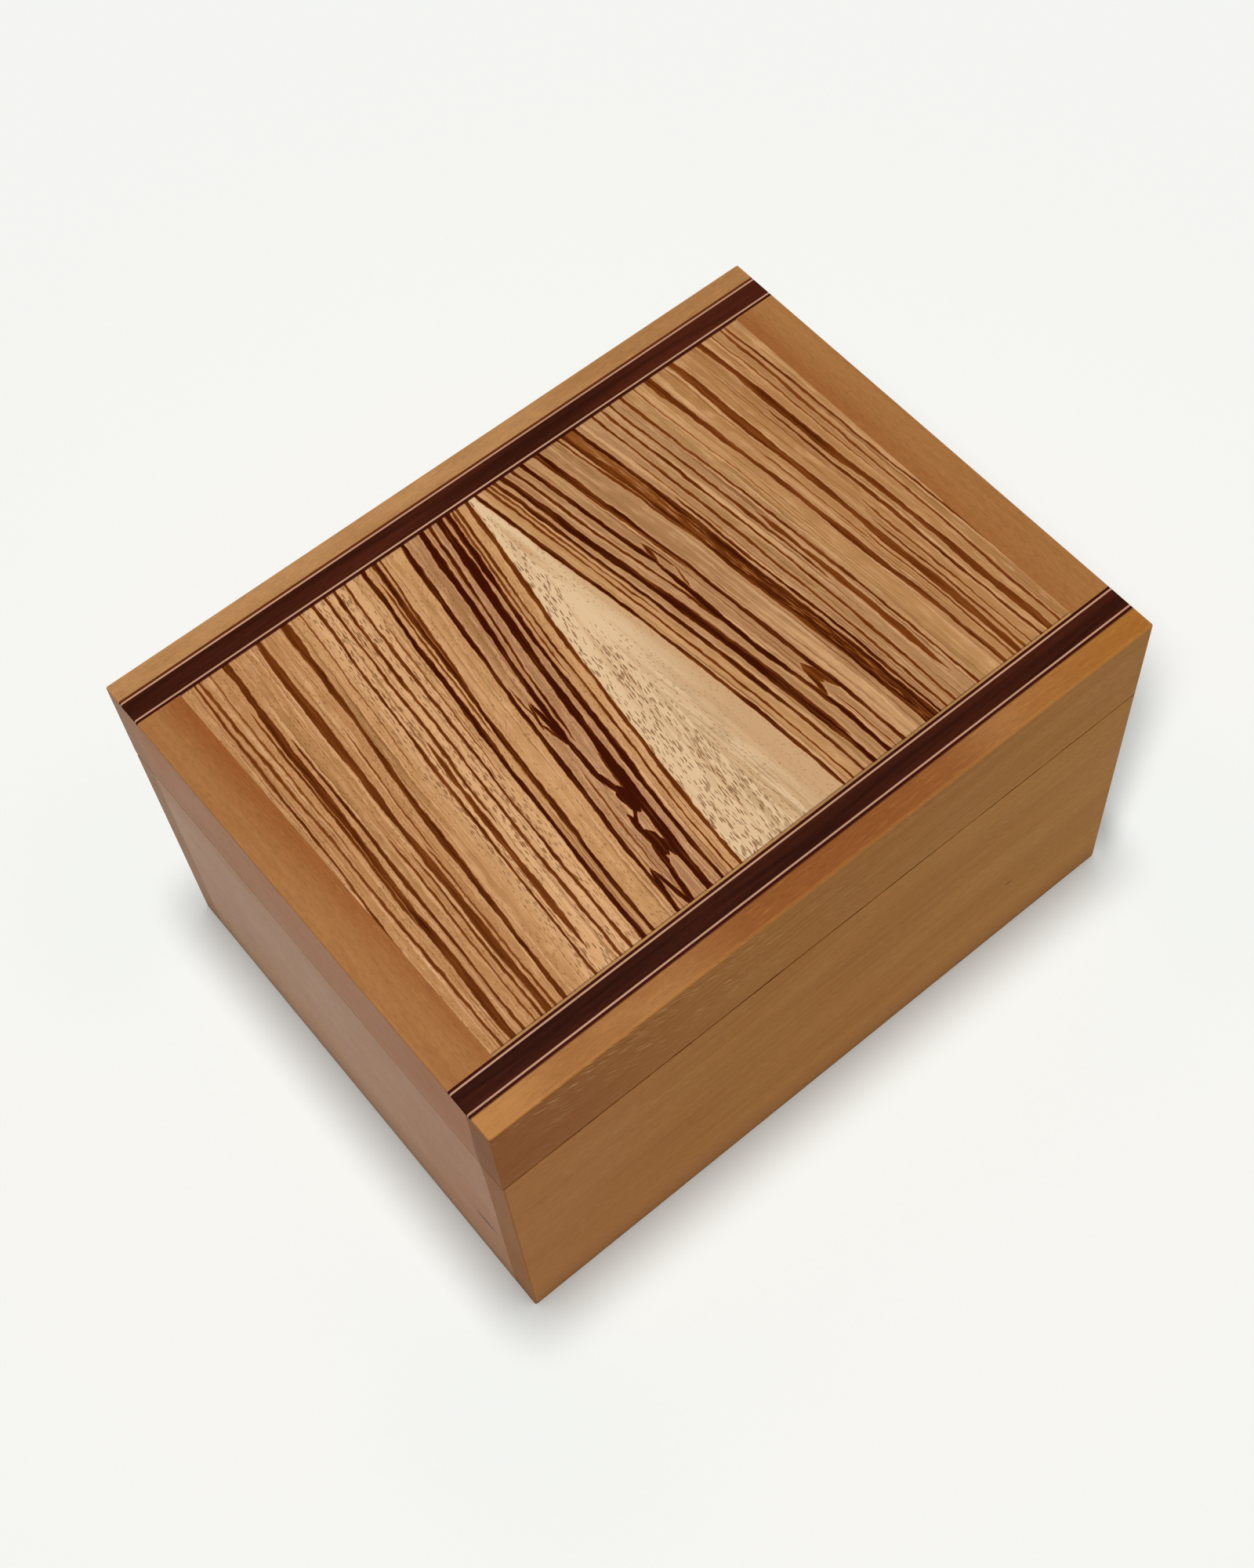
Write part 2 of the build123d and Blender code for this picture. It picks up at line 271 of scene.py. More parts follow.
class KeepsakeWoodSettings(bpy.types.PropertyGroup):
    """Colours of the woods and the felt."""

    # The faces of the boards get paler cherry than the top of the box and its strips: painted light on the
    # faces, which the lamp lights less than the top
    board_light: colour_property("Board light", "Pale growth on the faces of the cherry boards", 197, 137, 69)
    board_dark: colour_property("Board dark", "Dark growth on the faces of the cherry boards", 180, 117, 54)
    board_red: colour_property("Board red", "Reddish heartwood on the faces of the boards", 160, 92, 46)
    strip_light: colour_property("Strip light", "Pale growth of the cherry round the top", 168, 116, 68)
    strip_dark: colour_property("Strip dark", "Dark growth of the cherry round the top", 157, 103, 57)
    strip_red: colour_property("Strip red", "Reddish cherry beside the zebrano", 144, 82, 38)
    zebrano_light: colour_property("Zebrano light", "Ground of the zebrano leaves", 192, 142, 93)
    zebrano_mauve: colour_property("Zebrano mauve", "Greyish ground between close stripes", 160, 113, 80)
    zebrano_olive: colour_property("Zebrano olive", "Greenish ground of wide stripes", 158, 113, 66)
    zebrano_red: colour_property("Zebrano red", "Reddish ground towards the ends of the top", 168, 112, 67)
    zebrano_streak: colour_property("Zebrano streak", "Pale streaks in the ground", 222, 173, 126)
    zebrano_hair: colour_property("Zebrano hair", "Thin brown lines in the ground", 120, 66, 26)
    zebrano_pale: colour_property("Zebrano pale", "Pale wedge beside the middle joint", 221, 189, 149)
    zebrano_smoke: colour_property("Zebrano smoke", "Darker streaks in the pale wedge", 195, 154, 112)
    zebrano_brown: colour_property("Zebrano brown", "Soft edge of the stripes", 110, 54, 13)
    zebrano_dark: colour_property("Zebrano dark", "Heart of the stripes", 58, 13, 1)
    band: colour_property("Band", "Dark wood of the wide bands", 57, 22, 11)
    light_line: colour_property("Light line", "Pale inlaid lines", 184, 140, 114)
    dark_line: colour_property("Dark line", "Dark red inlaid lines", 58, 17, 8)
    faded_line: colour_property("Faded line", "Outer dark line at the back", 92, 42, 16)
    tan_line: colour_property("Tan line", "Line between the zebrano and the front lines", 168, 122, 74)
    plywood: colour_property("Plywood", "Birch face of the hidden panels", 208, 172, 128)
    felt: colour_property("Felt", "Wool felt on the bottom panel", 44, 76, 46)


class KeepsakeHingeSettings(bpy.types.PropertyGroup):
    """Sizes of the hinge screws and colours of the brass."""

    head_depth: length_property("Head depth", "Thickness of the hinge leaf that the head is in", 1.0 * MM)
    shank_radius: length_property("Shank radius", "Radius of a screw's shank", 0.8 * MM)
    slot_width: length_property("Slot width", "Width of a screw's slot", 0.55 * MM)
    slot_depth: length_property("Slot depth", "Depth of a screw's slot", 0.5 * MM)
    edge: length_property("Edge", "Bevel round a screw's head", 0.13 * MM)
    brass: colour_property("Brass", "Drawn brass", 214, 172, 96)
    tarnish: colour_property("Tarnish", "Brown film on the brass", 142, 100, 52)


class KeepsakeStageSettings(bpy.types.PropertyGroup):
    """Floor, light and camera."""

    floor: colour_property("Floor", "Plain pale floor", 237, 238, 235)
    backdrop: colour_property("Backdrop", "Plain backdrop beyond the floor", 246, 245, 241)
    sun_strength: number_property("Sun", "Strength of the soft overhead light", 3.12)
    sun_size: angle_property("Sun size", "Apparent size of the overhead light", 15.5)
    sky_strength: number_property("Sky", "Strength of the even light", 0.08)
    azimuth: angle_property("Azimuth", "Turn of the camera about the box", -34.1)
    elevation: angle_property("Elevation", "Height angle of the camera", 60.21)
    roll: angle_property("Roll", "Turn of the camera about its own axis", -5.99)
    distance: length_property("Distance", "Camera to the point that it aims at", 0.7815)
    aim_right: length_property("Aim right", "Aimed point, right of the box's foot in the picture", -0.00706)
    aim_up: length_property("Aim up", "Aimed point, above the box's foot in the picture", 0.03245)
    focal_length: number_property(
        "Focal length", "Lens on a 36 mm wide sensor", 52.9, subtype="DISTANCE_CAMERA"
    )


# Node helpers


class Value:
    """One output of a node. Arithmetic with it adds math nodes to the same tree."""

    def __init__(self, wires, socket):
        self.wires = wires
        self.socket = socket

    def __add__(self, other):
        return self.wires.math("ADD", self, other)

    def __sub__(self, other):
        return self.wires.math("SUBTRACT", self, other)

    def __rsub__(self, other):
        return self.wires.math("SUBTRACT", other, self)

    def __mul__(self, other):
        return self.wires.math("MULTIPLY", self, other)

    def __truediv__(self, other):
        return self.wires.math("DIVIDE", self, other)

    def __pow__(self, other):
        return self.wires.math("POWER", self, other)

    def __abs__(self):
        return self.wires.math("ABSOLUTE", self)


class Wires:
    """Adds nodes to one tree. An input takes a Value, or a plain value for its socket."""

    def __init__(self, tree):
        self.tree = tree

    def put(self, socket, value):
        if isinstance(value, Value):
            self.tree.links.new(value.socket, socket)
        elif socket.type == "RGBA" and len(value) == 3:
            socket.default_value = (*value, 1)
        else:
            socket.default_value = value

    def node(self, kind, inputs=None, **settings):
        node = self.tree.nodes.new(kind)
        for name, value in settings.items():
            setattr(node, name, value)
        for name, value in (inputs or {}).items():
            self.put(node.inputs[name], value)
        return node

    def value(self, kind, inputs=None, output=0, **settings):
        """One output of a new node."""
        return Value(self, self.node(kind, inputs, **settings).outputs[output])

    def math(self, operation, *values):
        return self.value("ShaderNodeMath", dict(enumerate(values)), operation=operation)

    def larger(self, first, *others):
        for other in others:
            first = self.math("MAXIMUM", first, other)
        return first

    def smaller(self, first, second):
        return self.math("MINIMUM", first, second)

    def distance(self, x, y):
        return self.math("SQRT", x ** 2.0 + y ** 2.0)

    def vector(self, operation, *values):
        return self.value("ShaderNodeVectorMath", dict(enumerate(values)), operation=operation)

    def scaled(self, vector, along, across=None):
        """A vector scaled by one factor along X and another along Y and Z, or by the first alone."""
        across = along if across is None else across
        return self.vector("MULTIPLY", vector, (along, across, across))

    def join(self, x, y=0.0, z=0.0):
        return self.value("ShaderNodeCombineXYZ", {"X": x, "Y": y, "Z": z})

    def split(self, vector):
        parts = self.node("ShaderNodeSeparateXYZ", {"Vector": vector}).outputs
        return [Value(self, part) for part in parts]

    def noise(self, vector, detail=2.0, roughness=0.5, distortion=0.0):
        inputs = {"Vector": vector, "Scale": 1.0, "Detail": detail, "Roughness": roughness}
        return self.value("ShaderNodeTexNoise", {**inputs, "Distortion": distortion}, "Fac")

    def smooth(self, value, low, high):
        """0 at low, 1 at high, and smooth between; high may be the smaller of the two."""
        inputs = {"Value": value, "From Min": low, "From Max": high}
        settings = {"interpolation_type": "SMOOTHSTEP", "clamp": False}
        return self.value("ShaderNodeMapRange", inputs, "Result", **settings)

    def window(self, value, low, high, soft):
        """1 between low and high, with soft ends."""
        return self.smooth(value, low - soft, low + soft) * self.smooth(value, high + soft, high - soft)

    def spread(self, value, low, high):
        """A value from 0 to 1 turned into one from low to high."""
        return self.math("MULTIPLY_ADD", value, high - low, low)

    def mix(self, factor, first, second, blend="MIX"):
        """Two colours mixed: the first where factor is 0, the second where it is 1."""
        inputs = {0: factor, 6: first, 7: second}
        return self.value("ShaderNodeMix", inputs, 2, data_type="RGBA", blend_type=blend)

    def coats(self, colour, *coats):
        """A colour painted over by coats, each given as its mask and its own colour."""
        for mask, coat in coats:
            colour = self.mix(mask, colour, coat)
        return colour

    def group(self, build, **inputs):
        """The outputs of a shared group, which is built the first time that it is asked for."""
        name = build.__name__.replace("_", " ").capitalize()
        tree = bpy.data.node_groups.get(name) or build(name)
        outputs = self.node("ShaderNodeGroup", inputs, node_tree=tree).outputs
        return [Value(self, output) for output in outputs]

    def position(self):
        """The place on the piece, in millimetres."""
        return self.scaled(self.value("ShaderNodeTexCoord", output="Object"), PER_MM)

    def turned(self, place):
        """A place turned so that grain along Y runs along X."""
        return self.value("ShaderNodeMapping", {"Vector": place, "Rotation": (0, 0, -math.pi / 2)})

    def surface(self, inputs, height=None, depth=0.0):
        """The shader and the output of a material; height is raised by depth in metres."""
        shader = self.node("ShaderNodeBsdfPrincipled", inputs)
        if height is not None:
            bump = {"Strength": 1.0, "Distance": depth, "Height": height}
            self.put(shader.inputs["Normal"], self.value("ShaderNodeBump", bump, "Normal"))
        self.node("ShaderNodeOutputMaterial", {"Surface": Value(self, shader.outputs["BSDF"])})


def new_material(name):
    material = bpy.data.materials.new(name)
    material.use_nodes = True
    material.node_tree.nodes.clear()
    return material, Wires(material.node_tree)


def new_group(name, **inputs):
    """A shader group with these inputs and their defaults: its wires, and its inputs as values."""
    tree = bpy.data.node_groups.new(name, "ShaderNodeTree")
    for label, default in inputs.items():
        kind = "NodeSocketVector" if isinstance(default, tuple) else "NodeSocketFloat"
        tree.interface.new_socket(name=label, in_out="INPUT", socket_type=kind).default_value = default
    w = Wires(tree)
    sockets = w.node("NodeGroupInput").outputs
    return w, [Value(w, sockets[label]) for label in inputs]


def end_group(w, **outputs):
    """Gives a shader group its outputs, and returns it."""
    for label in outputs:
        w.tree.interface.new_socket(name=label, in_out="OUTPUT", socket_type="NodeSocketFloat")
    w.node("NodeGroupOutput", outputs)
    return w.tree


# Effects that several materials share


def wood_figure(name):
    """Growth, flecks, pores and height of a wood whose grain runs along X."""
    w, (grain, seed, rings) = new_group(name, Grain=ORIGIN, Seed=0.0, Rings=0.09)
    shift = w.value("ShaderNodeVectorMath", {0: (37.0, 71.0, 53.0), "Scale": seed}, operation="SCALE")
    grain = w.vector("ADD", grain, shift)
    broad = w.noise(w.scaled(grain, 1 / 140, 1 / 20), detail=3, distortion=0.5)
    lines = w.noise(w.scaled(grain, 1 / 70, 1 / 1.5))
    fleck = w.smooth(w.noise(w.scaled(grain, 1 / 6, 1 / 0.42), detail=1), 0.55, 0.75)
    pore = w.smooth(w.noise(w.scaled(grain, 1 / 2.4, 1 / 0.17), detail=0), 0.66, 0.78)
    warp = w.noise(w.scaled(grain, 1 / 170, 1 / 45))
    _, y, z = w.split(grain)
    ring_width = 3.4
    ring = w.math("PINGPONG", warp * 42.0 + (y + z), ring_width) / ring_width
    growth = broad * 0.65 + lines * 0.35 - w.smooth(ring, 0.6, 1.0) * rings
    height = lines * 0.5 - pore
    return end_group(w, Growth=w.smooth(growth, 0.3, 0.7), Fleck=fleck, Pore=pore, Height=height)


def rubbed_edges(name):
    """A mask along the outer edges of the box, where two of its faces are near: wear, and a painted highlight
    on the arrises.
    """
    w, (place, reach) = new_group(name, Place=ORIGIN, Reach=1.2)
    x, y, z = w.split(place)
    end = BOX_HIGH.x - abs(x)
    side = BOX_HIGH.y - abs(y)
    level = w.smaller(z, BOX_HIGH.z - z)
    nearer = w.smaller(end, side)
    farther = w.larger(end, side)
    second = w.larger(nearer, w.smaller(farther, level))
    wear_and_highlight = w.spread(w.noise(w.scaled(place, 0.12), detail=3), 0.4, 1.6)
    return end_group(w, Mask=w.smooth(second / (reach * wear_and_highlight), 1.0, 0.2))


def satin_finish(name):
    """Roughness of a hand-rubbed varnish."""
    w, (place, rough, variation) = new_group(name, Place=ORIGIN, Roughness=0.45, Variation=0.1)
    clouds = w.noise(w.scaled(place, 1 / 26), detail=3)
    fine = w.noise(w.scaled(place, 1 / 1.3))
    change = clouds * 1.3 + fine * 0.7 - 1.0
    return end_group(w, Roughness=change * variation + rough)


def dark_spot(name):
    """A small oval mark about a point, longer along the grain."""
    w, (grain, centre, length, breadth) = new_group(
        name, Grain=ORIGIN, Centre=ORIGIN, Length=3.0, Breadth=1.0
    )
    x, y, z = w.split(w.vector("SUBTRACT", grain, centre))
    far = w.distance(x / length, w.distance(y, z) / breadth)
    ragged = w.spread(w.noise(w.scaled(grain, 0.6, 2.5)), -0.5, 0.5)
    return end_group(w, Mask=w.smooth(far + ragged, 1.0, 0.4))


def zebrano_flitch(name):
    """Where a point lies across the flitch (mm from the joint at the back edge) and along it (0 to 1)."""
    w, (place, seed) = new_group(name, Place=ORIGIN, Seed=0.0)
    x, y, _ = w.split(place)
    along = (LEAF_HIGH.y - y) / (LEAF_HIGH.y - LEAF_LOW.y)
    eased = 1.0 - w.larger(1.0 - along, 0.0) ** FAN_EASE
    across = (abs(x) - eased * FAN_SPREAD) / (eased * -FAN_NARROWING + 1.0)
    wandering = across
    for turns, width, detail, reach in WANDER:
        wave = w.noise(w.join(along * turns, across / width, seed), detail=detail)
        wandering = wandering + w.spread(wave, -reach, reach)
    return end_group(w, Across=wandering, Along=along)


def zebrano_stripe(name):
    """Adds one stripe to a running mask, and its pale border to another."""
    w, (across, along, mask, border, place, width, drift, start, end, tone) = new_group(
        name, Across=0.0, Along=0.0, Mask=0.0, Border=0.0, Place=0.0, Width=1.0, Drift=0.0,
        Start=FROM_BACK, End=TO_FRONT, Tone=1.0,
    )
    off = abs(across - (drift * along + place))
    slow = w.math("SINE", along * 11.0 + place * 3.7)
    quick = w.math("SINE", along * 34.0 + place * 8.3)
    swell = slow * 0.1 + (quick * 0.06 + 0.5)
    taper = w.smaller((end - start) * 0.3, 0.1)
    run = w.smooth(along - start, 0.0, taper) * w.smooth(end - along, 0.0, taper)
    edge = off - width * swell * run
    there = w.smooth(run, 0.0, 0.3) * tone
    line = w.smooth(edge, 0.3, -0.3) * there
    beside = w.smooth(edge, 0.9, 0.1) * there
    return end_group(w, Mask=w.larger(mask, line), Border=w.larger(border, beside))


def varnish(w, place, colour, rough, gloss, height, depth, variation=0.1):
    """Ends the material of a wood with a hand-rubbed finish; height is raised by depth in metres."""
    rough = w.group(satin_finish, Place=place, Roughness=rough, Variation=variation)[0]
    w.surface({"Base Color": colour, "Roughness": rough, "Specular IOR Level": gloss}, height, depth)


# Cherry


def cherry_material(name, colours, grain, seed, gloss, tint=None, rings=0.09, flecks=0.3):
    """Cherry whose grain runs along X or Y; tint adds colour that belongs to a place on the box."""
    material, w = new_material(name)
    light, dark = colours
    place = w.position()
    run = place if grain == "X" else w.turned(place)
    growth, fleck, pore, height = w.group(wood_figure, Grain=run, Seed=seed, Rings=rings)
    wear_and_highlight = w.group(rubbed_edges, Place=place)[0]
    colour = w.mix(growth, dark, light)
    if tint:
        colour = tint(w, place, colour)
    mottle = w.noise(w.scaled(run, 1 / 3.0, 1 / 0.9), detail=3)
    colour = w.mix(1.0, colour, w.spread(mottle, 0.86, 1.14), "MULTIPLY")
    # The inner faces take the pale bare cherry, partly painted light
    colour = w.mix(inner_faces(w, place) * 0.75, colour, w.mix(growth, *BARE_AND_LIT_INSIDE))
    seam = seam_line if grain == "X" else end_seam
    colour = w.coats(
        seam(w, place, colour),
        (fleck * flecks, shaded(light, 1.15)),
        (pore * 0.22, shaded(dark, 0.3)),
        # Paler along the edges: partly wear, partly a painted highlight on the rounded arrises
        (wear_and_highlight * 0.2, shaded(light, 1.2)),
    )
    varnish(w, place, colour, 0.44, gloss, height, 0.03 * MM, variation=0.12)
    return material


def inner_faces(w, place):
    """1 on the faces inside the box and the lid, whose wood is bare, and 0 elsewhere."""
    x, y, z = w.split(place)
    outside = w.larger(abs(x) - INNER_LENGTH, abs(y) - INNER_DEPTH, z - INNER_TOP)
    return w.smooth(outside, 0.3, 0.1)


def outer_faces(w, distance, limit):
    """1 on the two outer faces that lie at this limit from the middle of the box, and 0 within them."""
    return w.smooth(abs(distance), limit - 0.3, limit - 0.1)


def top_edge(w, place):
    """1 on the upper edges of the boards, 0 on their faces."""
    z = w.split(place)[2]
    return w.smooth(z, BOX_HIGH.z - 0.5, BOX_HIGH.z - 0.15)


def seam_line(w, place, colour):
    """The outer edges along the lid's seam: a painted shade of the gap, dark in patches, and a painted edge
    highlight on the right.
    """
    x, y, z = w.split(place)
    outer = outer_faces(w, y, BOX_HIGH.y)
    right = w.smooth(x, -20.0, 60.0)
    off = abs(z - SEAM)
    chips = w.spread(w.noise(w.join(x / 3.2, z)), 0.2, 1.4)
    patches = w.smooth(w.noise(w.join(x / 20.0, 3.0), detail=3), 0.4, 0.58)
    # Painted edge highlight along the seam, on the right where the painted gap shade is thin
    rubbed = w.smooth(off, 0.6, 0.3) * (1.0 - patches) * right * 0.7
    # Painted shade of the seam's gap, dark in patches
    gap_shade = w.smooth(off / chips, 0.85, 0.2) * patches * w.spread(right, 0.95, 0.45)
    return w.coats(colour, (rubbed * outer, srgb(232, 166, 88)), (gap_shade * outer, srgb(98, 36, 8)))


def end_seam(w, place, colour):
    """The outer edges along the lid's seam at the two ends, made paler, most on the left."""
    x, _, z = w.split(place)
    near = w.smooth(abs(z - SEAM), 0.8, 0.3)
    strength = w.spread(w.smooth(x, -60.0, 60.0), 0.6, 0.15)
    return w.mix(outer_faces(w, x, BOX_HIGH.x) * near * strength, colour, srgb(222, 176, 138))


def front_tint(woods):
    """Redder at the lid's left end and yellower to the right, with a pin knot; the top edge is darker, in the
    top's cherry, so that the face carries painted light against it.
    """
    def tint(w, place, colour):
        x, y, z = w.split(place)
        left = w.smooth(x, BOX_LOW.x + 100.0, BOX_LOW.x)
        lid = w.smooth(z, SEAM - 0.5, SEAM + 0.5)
        face = outer_faces(w, y, BOX_HIGH.y)
        top = top_edge(w, place)
        ends = w.smooth(abs(x), BOX_HIGH.x - 0.5, BOX_HIGH.x - 0.1)
        corner = w.smooth(x, BOX_LOW.x + 0.9, BOX_LOW.x + 0.3) * face
        bright, dull = ray_flecks(w, place, face)
        glue = w.smooth(y, OUTER_LINE - 0.45, OUTER_LINE - 0.15) * top
        knot = w.group(dark_spot, Grain=place, Centre=PIN_KNOT, Length=2.2, Breadth=0.8)[0]
        return w.coats(
            colour,
            (left * lid * 0.7, woods.board_red),
            (left * (0.55 - lid * 0.55), srgb(198, 132, 80)),
            (lid * 0.07, srgb(120, 60, 20)),
            (w.smooth(z, 34.0, 2.0) * 0.6, srgb(204, 140, 82)),
            (w.smooth(x, 0.0, BOX_HIGH.x) * 0.3, srgb(202, 146, 78)),
            (top, front_top(w, place, woods)),
            (ends * 0.6, END_GRAIN),
            (corner * 0.5, srgb(112, 62, 36)),
            (bright, srgb(222, 170, 116)),
            (dull, srgb(116, 64, 28)),
            (glue * 0.6, woods.dark_line),
            (knot * 0.7, srgb(60, 34, 20)),
        )
    return tint


def front_top(w, place, woods):
    """Top edge of the front: dark in the middle, warm on the right and pale at the left corner."""
    x = w.split(place)[0]
    blotch = w.noise(w.scaled(place, 1 / 34, 1 / 9))
    middle = w.smooth(abs(x - 6.0), 75.0, 25.0) * w.spread(blotch, 0.5, 1.1)
    corner = w.smooth(x, -88.0, -112.0) * w.spread(blotch, 0.3, 0.9)
    return w.coats(
        woods.strip_dark,
        (w.smooth(blotch, 0.35, 0.7), woods.strip_light),
        (middle, srgb(133, 74, 34)),
        (w.smooth(x, 50.0, BOX_HIGH.x) * 0.75, srgb(158, 99, 34)),
        (corner, srgb(192, 136, 78)),
    )


def ray_flecks(w, place, face):
    """Masks of slanting flecks on the front face, bright and dull, strongest at the lid's upper left."""
    x, y, z = w.split(place)
    slant = x * 0.5 + (y + z)
    rays = w.noise(w.join(x / 6.0, slant / 0.75), detail=1)
    patches = w.smooth(w.noise(w.join(x / 26.0, z / 12.0)), 0.38, 0.6)
    upper_left = w.smooth(z, SEAM + 3.0, SEAM + 26.0) * w.smooth(x, 50.0, -50.0)
    strength = patches * w.spread(upper_left, 0.3, 1.0) * face * 0.65
    return w.smooth(rays, 0.56, 0.68) * strength, w.smooth(rays, 0.42, 0.3) * strength * 0.5


def back_tint(w, place, colour):
    """A paler top edge, and duller end grain, greyish at the left end as a painted reflection."""
    x = w.split(place)[0]
    blotch = w.noise(w.scaled(place, 1 / 40, 1 / 9))
    upper = w.mix(w.smooth(blotch, 0.35, 0.7), srgb(168, 120, 74), srgb(180, 132, 85))
    upper = w.mix(w.smooth(x, 0.0, 60.0) * 0.3, upper, srgb(150, 102, 58))
    left_end = w.smooth(x, BOX_LOW.x + 0.5, BOX_LOW.x + 0.1)
    right_end = w.smooth(x, BOX_HIGH.x - 0.5, BOX_HIGH.x - 0.1)
    return w.coats(
        colour,
        # Greyish left end grain: painted reflection
        (left_end * 0.7, srgb(178, 136, 112)),
        (right_end * 0.6, END_GRAIN),
        (top_edge(w, place), upper),
    )


def end_tint(w, place, colour):
    """Redder lid and a warmer front, and a cooler, greyish coat on the body, strongest low at the front of
    the left end, which is a painted reflection; the left end has a dark joint line and a gum streak.
    """
    x, y, z = w.split(place)
    left = w.smooth(x, 60.0, -60.0)
    lid = left * w.smooth(z, SEAM - 4.0, SEAM + 8.0)
    lower = w.smooth(z, SEAM + 6.0, SEAM - 12.0) * w.smooth(y, BOX_LOW.y - 4.0, BOX_LOW.y + 70.0)
    front = w.smooth(y, BOX_LOW.y + 75.0, BOX_LOW.y + 10.0)
    joint = w.smooth(y, 1.2 - INNER_DEPTH, 0.4 - INNER_DEPTH) * w.window(z, *JOINT_LINE, 6.0)
    joint = joint * outer_faces(w, x, BOX_HIGH.x) * left
    streak = w.group(dark_spot, Grain=w.turned(place), Centre=GUM_STREAK, Length=6.5, Breadth=2.0)[0]
    return w.coats(
        colour,
        (lid * 0.5, srgb(180, 98, 54)),
        # Painted reflection: a greyish veil on the body, strongest on the left end
        (w.spread(left * lower, 0.1, 0.55), srgb(186, 134, 102)),
        (front * 0.7, srgb(177, 104, 44)),
        (joint * 0.6, srgb(72, 42, 28)),
        (streak, srgb(40, 14, 6)),
    )


def strip_tint(woods):
    """Redder beside the zebrano and towards the back, and less red on the right."""
    def tint(w, place, colour):
        x, y, _ = w.split(place)
        right = w.smooth(x, -60.0, 60.0)
        beside = w.smooth(BOX_HIGH.x - abs(x), 3.0, BOX_HIGH.x - LEAF_HIGH.x)
        back = w.smooth(y, BOX_LOW.y, BOX_HIGH.y)
        colour = w.mix(right * 0.2, colour, srgb(150, 106, 50))
        red = beside * w.spread(back, 0.4, 0.95) * w.spread(right, 1.0, 0.75)
        return w.mix(red, colour, woods.strip_red)
    return tint


# Zebrano


def zebrano_ground(w, across, along, leaf, woods):
    """The light wood between the stripes: broad tints, pale streaks and thin brown lines."""
    # tone darkens the ground by the leaf's shade, a painted shade on the right leaf
    def tone(colour):
        return shaded(colour, leaf["shade"])
    seed = leaf["seed"]
    streak = tone(woods.zebrano_streak)
    olive = tone(woods.zebrano_olive)
    broad = w.noise(w.join(across / 2.6, along * 1.1, seed), detail=1)
    light = w.noise(w.join(across / 1.3, along * 2.0, seed + 5.0), detail=3)
    cluster = w.noise(w.join(across / 6.0, along * 1.5, seed + 3.0), detail=1)
    fine = w.noise(w.join(across * 1.9, along * 1.6, seed + 9.0), detail=1)
    mottle = w.noise(w.join(across / 1.5, along * 17.0, seed + 1.0))
    hairs = w.smooth(fine, 0.55, 0.66) * w.spread(w.smooth(cluster, 0.35, 0.6), 0.2, 0.7)
    return w.coats(
        tone(woods.zebrano_light),
        (w.window(across, 8.0, leaf["mauve_to"], 3.0) * leaf["mauve"], tone(woods.zebrano_mauve)),
        (w.smooth(across, 62.0, 72.0) * 0.55, tone(woods.zebrano_red)),
        (w.smooth(broad, 0.5, 0.72) * 0.75, olive),
        (w.window(across, *OPEN_GRAIN, 3.0) * leaf["open"], streak),
        (w.smooth(light, 0.48, 0.7) * 0.7, streak),
        (w.smooth(mottle, 0.5, 0.75) * 0.4, streak),
        (w.smooth(mottle, 0.5, 0.25) * 0.4, olive),
        (hairs, tone(woods.zebrano_hair)),
    )


def zebrano_wedge(w, across, along, joint, leaf, woods):
    """The pale wood beside the middle joint, with darker streaks, and smoky at the front."""
    seed = leaf["seed"]
    streaks = w.noise(w.join(across * leaf["streaks"], along * 3.0, seed + 7.0))
    level = w.smooth(streaks, *leaf["pale_from"]) * w.spread(joint, leaf["beside"], 1.0)
    colour = w.mix(level, woods.zebrano_smoke, woods.zebrano_pale)
    smoky = w.noise(w.join(across * 0.9, along * 7.0, seed), detail=3)
    front = w.smooth(along, 0.4, 0.8) * joint * w.smooth(smoky, 0.4, 0.62)
    return w.mix(front * 0.55, colour, srgb(152, 120, 80))


def zebrano_pores(w, across, along, amount):
    """Thin dark dashes along the grain, crowded in some places."""
    grid = w.join(across * 2.1, along * 40.0)
    cells = w.node("ShaderNodeTexVoronoi", {"Vector": grid, "Scale": 1.0}, voronoi_dimensions="2D").outputs
    chance = w.split(Value(w, cells["Color"]))[0]
    crowd = w.noise(w.join(across / 7.0, along * 4.0), detail=1)
    size = w.smooth(crowd, 0.2, 0.5) * amount * w.smooth(chance, 0.2, 0.75)
    return w.smooth(size - Value(w, cells["Distance"]), 0.0, 0.08)


def broken_stripe(w, across, along, near, far, start):
    """A wide brown stripe between two places across the flitch, broken up by light streaks."""
    flecks = w.noise(w.join(across * 2.2, along * 15.0))
    ragged = w.spread(flecks, -0.9, 0.9)
    begin = w.spread(w.smooth(along - start, 0.0, 0.3), 0.5, 1.0)
    inner = w.smooth(across - near - ragged, -0.3, 0.3)
    outer = w.smooth(far - across + ragged, -0.3, 0.3)
    light = w.smooth(flecks, 0.5, 0.64) * 0.6
    return inner * outer * begin * (0.92 - light)


def zebrano_stripes(w, across, along, leaf):
    """A mask of all the stripes of a leaf, and one of their pale borders."""
    mask, border = 0.0, 0.0
    for one in leaf["stripes"]:
        mask, border = w.group(zebrano_stripe, Across=across, Along=along, Mask=mask, Border=border, **one)
    if "broken" in leaf:
        mask = w.larger(mask, broken_stripe(w, across, along, *leaf["broken"]))
    tones = w.noise(w.join(along * 9.0, across, leaf["seed"] + 2.0), detail=1)
    return mask * w.spread(tones, *leaf["depth"]), border


